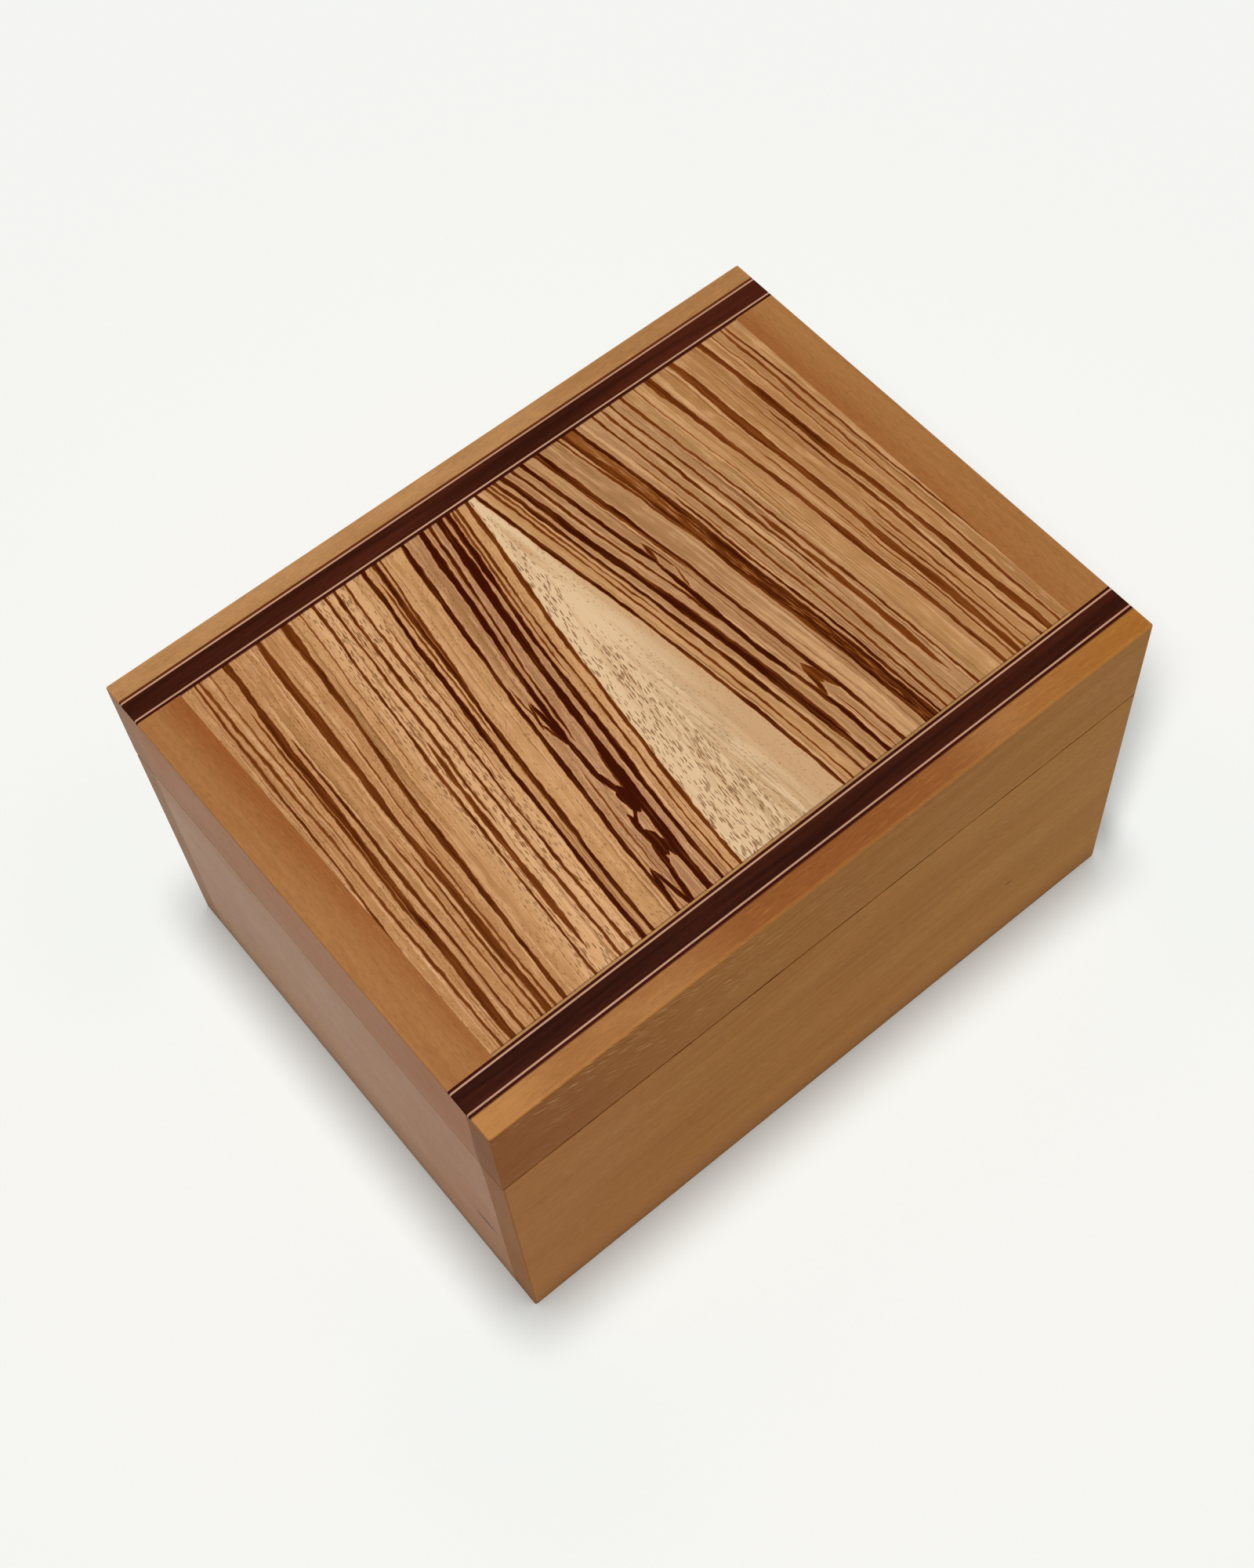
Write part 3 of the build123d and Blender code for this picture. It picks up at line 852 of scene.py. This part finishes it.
def zebrano_material(name, woods, leaf):
    """One leaf of the book-matched pair."""
    material, w = new_material(name)
    place = w.position()
    x, y, _ = w.split(place)
    across, along = w.group(zebrano_flitch, Place=place, Seed=leaf["seed"])
    mask, border = zebrano_stripes(w, across, along, leaf)
    pale = w.smooth(across, 1.8, 0.4)
    joint = w.smooth(abs(x), 13.0, 3.0)
    porous = w.larger(pale, w.window(across, *OPEN_GRAIN, 3.0) * 0.85)
    amount = w.larger(w.spread(porous, 0.45, 1.0) * leaf["pores"], joint * pale * 0.2)
    pits = zebrano_pores(w, across, along, amount)
    back_glue = w.smooth(y, LEAF_HIGH.y - 0.5, LEAF_HIGH.y - 0.2) * 0.9
    front_glue = w.smooth(y, LEAF_LOW.y + 0.5, LEAF_LOW.y + 0.2) * 0.6
    colour = w.coats(
        zebrano_ground(w, across, along, leaf, woods),
        (pale * 0.92, zebrano_wedge(w, across, along, joint, leaf, woods)),
        (border * 0.4, srgb(206, 156, 116)),
        (pits * 0.8, srgb(116, 70, 32)),
        (w.smooth(mask, 0.0, 0.4), srgb(152, 92, 44)),
        (w.smooth(mask, 0.1, 0.7), woods.zebrano_brown),
        (w.smooth(mask, 0.55, 1.0), woods.zebrano_dark),
        (w.larger(back_glue, front_glue), woods.dark_line),
    )
    varnish(w, place, colour, 0.4, 0.02, pits * -1.0, 0.05 * MM)
    return material


# Other materials


def line_edges(w, place, lines):
    """A mask along both edges of narrow lines that run along X."""
    y = w.split(place)[1]
    depths = []
    for line in lines:
        low, high = (corner.y * PER_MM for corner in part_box(line))
        depths.append((high - low) / 2 - abs(y - (low + high) / 2))
    return w.smooth(w.larger(*depths), 0.11, 0.02)


def line_material(name, colour, seed, strength, gloss, stained=(), stain=None):
    """A dyed veneer line or band with fine streaks along it; the stain lies along the edges of some lines."""
    material, w = new_material(name)
    place = w.position()
    growth, fleck, pore, height = w.group(wood_figure, Grain=place, Seed=seed)
    lighter = shaded(colour, 1 + 0.6 * strength)
    shade = w.coats(
        shaded(colour, 1 - 0.45 * strength),
        (growth, lighter),
        (fleck * (0.3 * strength), lighter),
        (pore * (0.5 * strength), shaded(colour, 0.4)),
    )
    if stained:
        shade = w.mix(line_edges(w, place, stained), shade, stain)
    varnish(w, place, shade, 0.42, gloss, height, 0.03 * MM)
    return material


def plywood_material(name, woods):
    """Rotary-cut birch: wide wavy figure along X."""
    material, w = new_material(name)
    place = w.position()
    growth, fleck, _, height = w.group(wood_figure, Grain=place, Seed=9.0)
    waves = w.noise(w.scaled(place, 1 / 90, 1 / 26), distortion=1.6)
    rings = w.math("PINGPONG", waves * 14.0, 1.0)
    colour = w.coats(
        woods.plywood,
        (w.smooth(rings, 0.5, 1.0) * 0.35, srgb(176, 132, 88)),
        (growth * 0.3, srgb(222, 192, 150)),
        (fleck * 0.25, srgb(160, 116, 76)),
    )
    varnish(w, place, colour, 0.62, 0.25, height, 0.04 * MM)
    return material


def brass_material(name, hinges):
    """Drawn brass with fine lines along the hinge and a brown film in patches."""
    material, w = new_material(name)
    place = w.position()
    film = w.smooth(w.noise(w.scaled(place, 0.22), detail=5, roughness=0.6), 0.42, 0.72)
    drawn = w.noise(w.scaled(place, 0.08, 7.0))
    colour = w.coats(hinges.brass, (film * 0.55, hinges.tarnish), (drawn * 0.2, srgb(236, 204, 138)))
    rough = w.spread(film, 0.24, 0.44) + w.spread(drawn, -0.05, 0.05)
    w.surface({"Base Color": colour, "Metallic": 1.0, "Roughness": rough}, drawn, 0.01 * MM)
    return material


def felt_material(name, woods):
    """Matted wool: loose fibres in all directions and a soft sheen."""
    material, w = new_material(name)
    place = w.position()
    fibres = w.noise(w.scaled(place, 2.4), detail=4, roughness=0.7, distortion=2.5)
    clumps = w.noise(w.scaled(place, 0.16), detail=3)
    colour = w.coats(
        shaded(woods.felt, 0.62),
        (w.smooth(fibres, 0.35, 0.7), woods.felt),
        (w.smooth(clumps, 0.4, 0.7) * 0.25, shaded(woods.felt, 1.35)),
    )
    sheen = {"Specular IOR Level": 0.1, "Sheen Weight": 0.2, "Sheen Roughness": 0.5}
    w.surface({"Base Color": colour, "Roughness": 0.95, **sheen}, fibres, 0.4 * MM)
    return material


def floor_material(name, colour):
    """Plain matt paper with painted shade: cooler and greyer round the foot of the box, and a painted soft
    shadow on the right.
    """
    material, w = new_material(name)
    place = w.position()
    x, y, _ = w.split(place)
    beyond_end = w.larger(abs(x) - BOX_HIGH.x, 0.0)
    beyond_side = w.larger(abs(y) - BOX_HIGH.y, 0.0)
    away = w.distance(beyond_end, beyond_side * 0.8)
    # A painted soft shadow to the right of the box
    run = (x - BOX_HIGH.x) / SHADOW_RIGHT
    begin = run * -SHADOW_BACK + y
    in_front = (BOX_LOW.y - begin) * SHADOW_RIGHT
    edge = w.smooth(in_front / (run * 0.18 + 7.0), 1.0, -0.1)
    length = w.smooth(run, -2.0, 13.0) * w.smooth(run, 108.0, 58.0)
    painted_shadow = edge * length * w.smooth(begin, BOX_HIGH.y, BOX_HIGH.y - 60.0)
    shade = w.coats(
        shaded(colour, 0.997),
        (w.noise(w.scaled(place, 0.8), detail=3), colour),
        # Painted shade: cooler out to 90 mm, which takes out the warm light the box throws on the floor, and
        # greyer within 20 mm
        (w.smooth(away, 90.0, 25.0), shaded(colour, (0.965, 0.99, 0.997))),
        (w.smooth(away, 20.0, 0.0), shaded(colour, (0.8, 0.812, 0.815))),
        (painted_shadow * SHADOW_DEPTH, (0.0, 0.0, 0.0)),
    )
    w.surface({"Base Color": shade, "Roughness": 0.9, "Specular IOR Level": 0.0})
    return material


def finish_nodes(material, *names):
    """Gives CAD pieces their finish."""
    for name in names:
        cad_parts[name].material_slots[0].material = material


# Pieces made here


def link(name, data):
    piece = bpy.data.objects.new(name, data)
    bpy.context.scene.collection.objects.link(piece)
    return piece


class ScrewTree(Wires):
    """Geometry nodes for the slotted screws: one screw stands on each point, head up."""

    SIZES = ("Head Radius", "Shank Radius", "Head Depth", "Length", "Slot Width", "Slot Depth", "Edge")

    def __init__(self, name):
        super().__init__(bpy.data.node_groups.new(name, "GeometryNodeTree"))
        self.socket("Geometry", "Geometry")
        for label in self.SIZES:
            self.socket(label, "Float").subtype = "DISTANCE"
        self.socket("Turn", "Vector").subtype = "EULER"
        self.socket("Seed", "Int")
        self.socket("Material", "Material")
        self.socket("Geometry", "Geometry", "OUTPUT")
        self.build()

    def socket(self, label, kind, way="INPUT"):
        return self.tree.interface.new_socket(name=label, in_out=way, socket_type="NodeSocket" + kind)

    def taper(self, top, bottom, depth, level):
        """A round solid that ends at this level and tapers downwards."""
        sizes = {"Vertices": SCREW_SIDES, "Radius Top": top, "Radius Bottom": bottom, "Depth": depth}
        cone = self.value("GeometryNodeMeshCone", sizes, "Mesh")
        foot = self.join(0.0, 0.0, level - depth)
        return self.value("GeometryNodeTransform", {"Geometry": cone, "Translation": foot})

    def build(self):
        source = {item.name: Value(self, item) for item in self.node("NodeGroupInput").outputs}
        head, shank, edge = source["Head Radius"], source["Shank Radius"], source["Edge"]
        sunk = source["Head Depth"]
        rim = head - edge
        solids = (
            self.taper(rim - edge, rim, edge, 0.0),
            self.taper(rim, shank, sunk - edge, edge * -1.0),
            self.taper(shank, shank * 0.5, source["Length"] - sunk, sunk * -1.0),
        )
        whole = self.node("GeometryNodeMeshBoolean", operation="UNION", solver="EXACT")
        for solid in solids:
            self.put(whole.inputs["Mesh 2"], solid)
        size = self.join(head * 3.0, source["Slot Width"], source["Slot Depth"] * 2.0)
        slot = self.value("GeometryNodeMeshCube", {"Size": size}, "Mesh")
        pair = {"Mesh 1": Value(self, whole.outputs["Mesh"]), "Mesh 2": slot}
        screw = self.value("GeometryNodeMeshBoolean", pair, "Mesh", operation="DIFFERENCE", solver="EXACT")
        angle = {"Max": 2 * math.pi, "Seed": source["Seed"]}
        spin = self.value("FunctionNodeRandomValue", angle, 1, data_type="FLOAT")
        stand = {"Points": source["Geometry"], "Instance": screw, "Rotation": source["Turn"]}
        turned = self.value("GeometryNodeInstanceOnPoints", stand)
        about = {"Instances": turned, "Rotation": self.join(0.0, 0.0, spin)}
        spun = self.value("GeometryNodeRotateInstances", about)
        plain = self.value("GeometryNodeRealizeInstances", {"Geometry": spun})
        finish = {"Geometry": plain, "Material": source["Material"]}
        self.node("NodeGroupOutput", {"Geometry": self.value("GeometryNodeSetMaterial", finish)})

    def identifier(self, label):
        for item in self.tree.interface.items_tree:
            if item.name == label and item.in_out == "INPUT":
                return item.identifier
        raise KeyError(label)


def screw_seats(node, level):
    """The centres of a body's screw heads, two in each hinge leaf, and the radius of a head."""
    low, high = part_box(node)
    head = (high.y - low.y) / 2
    seats = []
    for leaf in ("left_hinge_body_leaf", "right_hinge_body_leaf"):
        leaf_low, leaf_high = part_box(leaf)
        middle = (leaf_low.x + leaf_high.x) / 2
        reach = high.x - head - abs(middle)
        for x in (middle - reach, middle + reach):
            seats.append(Vector((x, (low.y + high.y) / 2, level)))
    return seats, head


def make_screws(name, node, body, level, turn, hinges, material, seed):
    """The slotted screws of one body, as one plain mesh."""
    seats, head = screw_seats(node, level)
    low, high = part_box(node)
    points = bpy.data.meshes.new(name + "_seats")
    points.from_pydata(seats, [], [])
    holder = link(name + "_holder", points)
    tree = ScrewTree(name + "_tree")
    modifier = holder.modifiers.new("Screws", "NODES")
    modifier.node_group = tree.tree
    values = {
        "Head Radius": head, "Shank Radius": hinges.shank_radius, "Head Depth": hinges.head_depth,
        "Length": high.z - low.z, "Slot Width": hinges.slot_width, "Slot Depth": hinges.slot_depth,
        "Edge": hinges.edge, "Turn": (turn, 0.0, 0.0), "Seed": seed, "Material": material,
    }
    for label, value in values.items():
        modifier[tree.identifier(label)] = value
    evaluated = holder.evaluated_get(bpy.context.evaluated_depsgraph_get())
    mesh = bpy.data.meshes.new_from_object(evaluated)
    mesh.name = name
    bpy.data.objects.remove(holder)
    mesh.set_sharp_from_angle(angle=math.radians(25))
    piece = link(name, mesh)
    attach(piece, body)
    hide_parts(node)


def felt_height(x, y):
    """Slight unevenness of the laid felt, from 0 to 1."""
    waves = math.sin(61 * x + 1.3) * math.sin(47 * y + 0.4) + 0.6 * math.sin(113 * x - 83 * y)
    return 0.5 + waves / 3.2


def felt_layer(form, top):
    """The grid of points on the felt's face, or on its flat underside."""
    size = FELT_HIGH - FELT_LOW
    rows = []
    for j in range(FELT_BACK + 1):
        row = []
        for i in range(FELT_ACROSS + 1):
            x = FELT_LOW.x + size.x * i / FELT_ACROSS
            y = FELT_LOW.y + size.y * j / FELT_BACK
            rim = min(i, j, FELT_ACROSS - i, FELT_BACK - j, len(FELT_RIM) - 1)
            lowered = FELT_RIM[rim] + 0.1 * felt_height(x, y)
            z = FELT_HIGH.z - size.z * lowered if top else FELT_LOW.z
            row.append(form.verts.new((x, y, z)))
        rows.append(row)
    return rows


def make_felt(name, material):
    """The felt on the bottom panel: a closed sheet with soft edges and a slightly uneven face."""
    form = bmesh.new()
    bottom = felt_layer(form, False)
    face = felt_layer(form, True)
    for j in range(FELT_BACK):
        for i in range(FELT_ACROSS):
            form.faces.new((face[j][i], face[j][i + 1], face[j + 1][i + 1], face[j + 1][i]))
            form.faces.new((bottom[j][i], bottom[j + 1][i], bottom[j + 1][i + 1], bottom[j][i + 1]))
    ring = [(i, 0) for i in range(FELT_ACROSS)] + [(FELT_ACROSS, j) for j in range(FELT_BACK)]
    ring += [(i, FELT_BACK) for i in range(FELT_ACROSS, 0, -1)] + [(0, j) for j in range(FELT_BACK, 0, -1)]
    for (i, j), (k, l) in zip(ring, ring[1:] + ring[:1]):
        form.faces.new((bottom[j][i], bottom[l][k], face[l][k], face[j][i]))
    mesh = bpy.data.meshes.new(name)
    form.to_mesh(mesh)
    form.free()
    mesh.shade_smooth()
    mesh.set_sharp_from_angle(angle=math.radians(50))
    mesh.materials.append(material)
    piece = link(name, mesh)
    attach(piece, "box_body")
    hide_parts("base_lining")


# Operators


class KEEPSAKE_OT_cherry_boards(bpy.types.Operator):
    """Finish the cherry boards and the two end strips of the top"""

    bl_idname = "keepsake.cherry_boards"
    bl_label = "Cherry Boards"

    def execute(self, context):
        woods = context.scene.keepsake_woods
        boards = (woods.board_light, woods.board_dark)
        strips = (woods.strip_light, woods.strip_dark)
        front = cherry_material(
            "cherry_front", boards, "X", 1.0, 0.012, front_tint(woods), rings=0.03, flecks=0.15
        )
        finish_nodes(front, "body_front_board", "lid_front_board")
        back = cherry_material("cherry_back", boards, "X", 4.0, 0.02, back_tint)
        finish_nodes(back, "body_back_board", "lid_back_board")
        strip = cherry_material("cherry_strip", strips, "Y", 3.0, 0.03, strip_tint(woods))
        finish_nodes(strip, "left_end_strip", "right_end_strip")
        for side, seed, body_gloss in (("left", 2.0, 0.15), ("right", 5.0, 0.08)):
            for end, gloss in ((f"body_{side}", body_gloss), (f"lid_{side}", 0.06)):
                wood = cherry_material(f"cherry_{end}", boards, "Y", seed, gloss, end_tint)
                finish_nodes(wood, f"{end}_board")
        return {"FINISHED"}


class KEEPSAKE_OT_zebrano_leaves(bpy.types.Operator):
    """Finish the two book-matched zebrano leaves"""

    bl_idname = "keepsake.zebrano_leaves"
    bl_label = "Zebrano Leaves"

    def execute(self, context):
        woods = context.scene.keepsake_woods
        for side, leaf in (("left", LEFT_LEAF), ("right", RIGHT_LEAF)):
            finish_nodes(zebrano_material(f"zebrano_{side}", woods, leaf), f"{side}_zebrano_leaf")
        return {"FINISHED"}


class KEEPSAKE_OT_inlay_lines(bpy.types.Operator):
    """Finish the bands and the fine lines of the top"""

    bl_idname = "keepsake.inlay_lines"
    bl_label = "Inlay Lines"

    def execute(self, context):
        woods = context.scene.keepsake_woods
        pale = [f"{side}_{ring}_light_line" for side in ("front", "back") for ring in ("outer", "inner")]
        light = line_material("light_line_wood", woods.light_line, 5.0, 0.25, 0.04, pale, woods.dark_line)
        finish_nodes(light, *pale)
        dark = ("front_outer_dark_line", "front_inner_dark_line", "back_inner_dark_line")
        finish_nodes(line_material("dark_line_wood", woods.dark_line, 6.0, 0.4, 0.02), *dark)
        for name, colour, seed, strength, gloss, node in (
            ("faded_line_wood", woods.faded_line, 6.0, 0.4, 0.02, "back_outer_dark_line"),
            ("band_wood", woods.band, 4.0, 0.9, 0.02, "front_band"),
            ("faded_band_wood", shaded(woods.band, 1.28), 4.0, 0.9, 0.02, "back_band"),
            ("tan_line_wood", woods.tan_line, 7.0, 0.4, 0.1, "filler_line"),
        ):
            finish_nodes(line_material(name, colour, seed, strength, gloss), node)
        return {"FINISHED"}


class KEEPSAKE_OT_panels(bpy.types.Operator):
    """Finish the bottom panel, the lid's core and the veneer inside the lid"""

    bl_idname = "keepsake.panels"
    bl_label = "Panels"

    def execute(self, context):
        woods = context.scene.keepsake_woods
        finish_nodes(plywood_material("birch_plywood", woods), "bottom_panel", "lid_core_panel")
        veneer = cherry_material("cherry_veneer", (woods.board_light, woods.board_dark), "X", 8.0, 0.2)
        finish_nodes(veneer, "lid_balancing_veneer")
        return {"FINISHED"}


class KEEPSAKE_OT_hinges(bpy.types.Operator):
    """Finish the hinge leaves and pins, and put slotted screws in the leaves"""

    bl_idname = "keepsake.hinges"
    bl_label = "Hinges"

    def execute(self, context):
        hinges = context.scene.keepsake_hinges
        brass = brass_material("drawn_brass", hinges)
        for side in ("left", "right"):
            finish_nodes(brass, f"{side}_hinge_body_leaf", f"{side}_hinge_lid_leaf", f"{side}_hinge_pin")
        body_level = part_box("body_hinge_screws")[1].z
        lid_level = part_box("lid_hinge_screws")[0].z
        make_screws("body_slotted_screws", "body_hinge_screws", "box_body", body_level, 0.0, hinges, brass, 3)
        make_screws("lid_slotted_screws", "lid_hinge_screws", "lid", lid_level, math.pi, hinges, brass, 8)
        return {"FINISHED"}


class KEEPSAKE_OT_felt(bpy.types.Operator):
    """Lay the felt on the bottom panel"""

    bl_idname = "keepsake.felt"
    bl_label = "Felt"

    def execute(self, context):
        make_felt("felt_lining", felt_material("wool_felt", context.scene.keepsake_woods))
        return {"FINISHED"}


class KEEPSAKE_OT_stage(bpy.types.Operator):
    """Set up the floor, the light and the camera"""

    bl_idname = "keepsake.stage"
    bl_label = "Stage"

    def execute(self, context):
        stage = context.scene.keepsake_stage
        self.make_floor(stage)
        self.make_light(context.scene, stage)
        self.make_camera(context.scene, stage)
        return {"FINISHED"}

    def make_floor(self, stage):
        ways = ((-1, -1), (1, -1), (1, 1), (-1, 1))
        corners = [(x * FLOOR_REACH, y * FLOOR_REACH, FLOOR_LEVEL) for x, y in ways]
        mesh = bpy.data.meshes.new("floor")
        mesh.from_pydata(corners, [], [(0, 1, 2, 3)])
        mesh.materials.append(floor_material("pale_floor", stage.floor))
        link("floor", mesh)

    def make_light(self, scene, stage):
        lamp = bpy.data.lights.new("overhead", "SUN")
        lamp.energy = stage.sun_strength
        lamp.angle = stage.sun_size
        link("overhead", lamp)
        world = bpy.data.worlds.new("studio")
        world.use_nodes = True
        world.node_tree.nodes.clear()
        w = Wires(world.node_tree)
        even = w.value("ShaderNodeBackground", {"Color": (1.0, 1.0, 1.0), "Strength": stage.sky_strength})
        backdrop = w.value("ShaderNodeBackground", {"Color": stage.backdrop})
        seen = w.value("ShaderNodeLightPath", output="Is Camera Ray")
        both = w.value("ShaderNodeMixShader", {0: seen, 1: even, 2: backdrop})
        w.node("ShaderNodeOutputWorld", {"Surface": both})
        scene.world = world
        scene.view_settings.view_transform = "Standard"

    def make_camera(self, scene, stage):
        azimuth, elevation = stage.azimuth, stage.elevation
        level = math.cos(elevation)
        back = Vector((math.sin(azimuth) * level, -math.cos(azimuth) * level, math.sin(elevation)))
        right = Vector((0, 0, 1)).cross(back).normalized()
        up = back.cross(right)
        turn = Matrix.Rotation(stage.roll, 3, back)
        right, up = turn @ right, turn @ up
        lens = bpy.data.cameras.new("camera")
        lens.sensor_width = SENSOR_WIDTH
        lens.lens = stage.focal_length
        camera = link("camera", lens)
        place = right * stage.aim_right + up * stage.aim_up + back * stage.distance
        axes = Matrix((right, up, back)).transposed().to_4x4()
        camera.matrix_world = Matrix.Translation(place) @ axes
        scene.camera = camera


STEPS = (
    KEEPSAKE_OT_cherry_boards,
    KEEPSAKE_OT_zebrano_leaves,
    KEEPSAKE_OT_inlay_lines,
    KEEPSAKE_OT_panels,
    KEEPSAKE_OT_hinges,
    KEEPSAKE_OT_felt,
    KEEPSAKE_OT_stage,
)


class KEEPSAKE_PT_looks(bpy.types.Panel):
    """The steps that finish the box, in order"""

    bl_idname = "KEEPSAKE_PT_looks"
    bl_label = "Keepsake Box"
    bl_space_type = "VIEW_3D"
    bl_region_type = "UI"
    bl_category = "Keepsake Box"

    def draw(self, context):
        for step in STEPS:
            self.layout.operator(step.bl_idname)


SETTINGS = {
    "keepsake_woods": KeepsakeWoodSettings,
    "keepsake_hinges": KeepsakeHingeSettings,
    "keepsake_stage": KeepsakeStageSettings,
}
CLASSES = (*SETTINGS.values(), *STEPS, KEEPSAKE_PT_looks)


def register():
    for cls in CLASSES:
        bpy.utils.register_class(cls)
    for name, cls in SETTINGS.items():
        setattr(bpy.types.Scene, name, bpy.props.PointerProperty(type=cls))


def unregister():
    for name in SETTINGS:
        delattr(bpy.types.Scene, name)
    for cls in reversed(CLASSES):
        bpy.utils.unregister_class(cls)


def main():
    register()
    for step in STEPS:
        group, action = step.bl_idname.split(".")
        getattr(getattr(bpy.ops, group), action)()


if __name__ == "__main__":
    main()
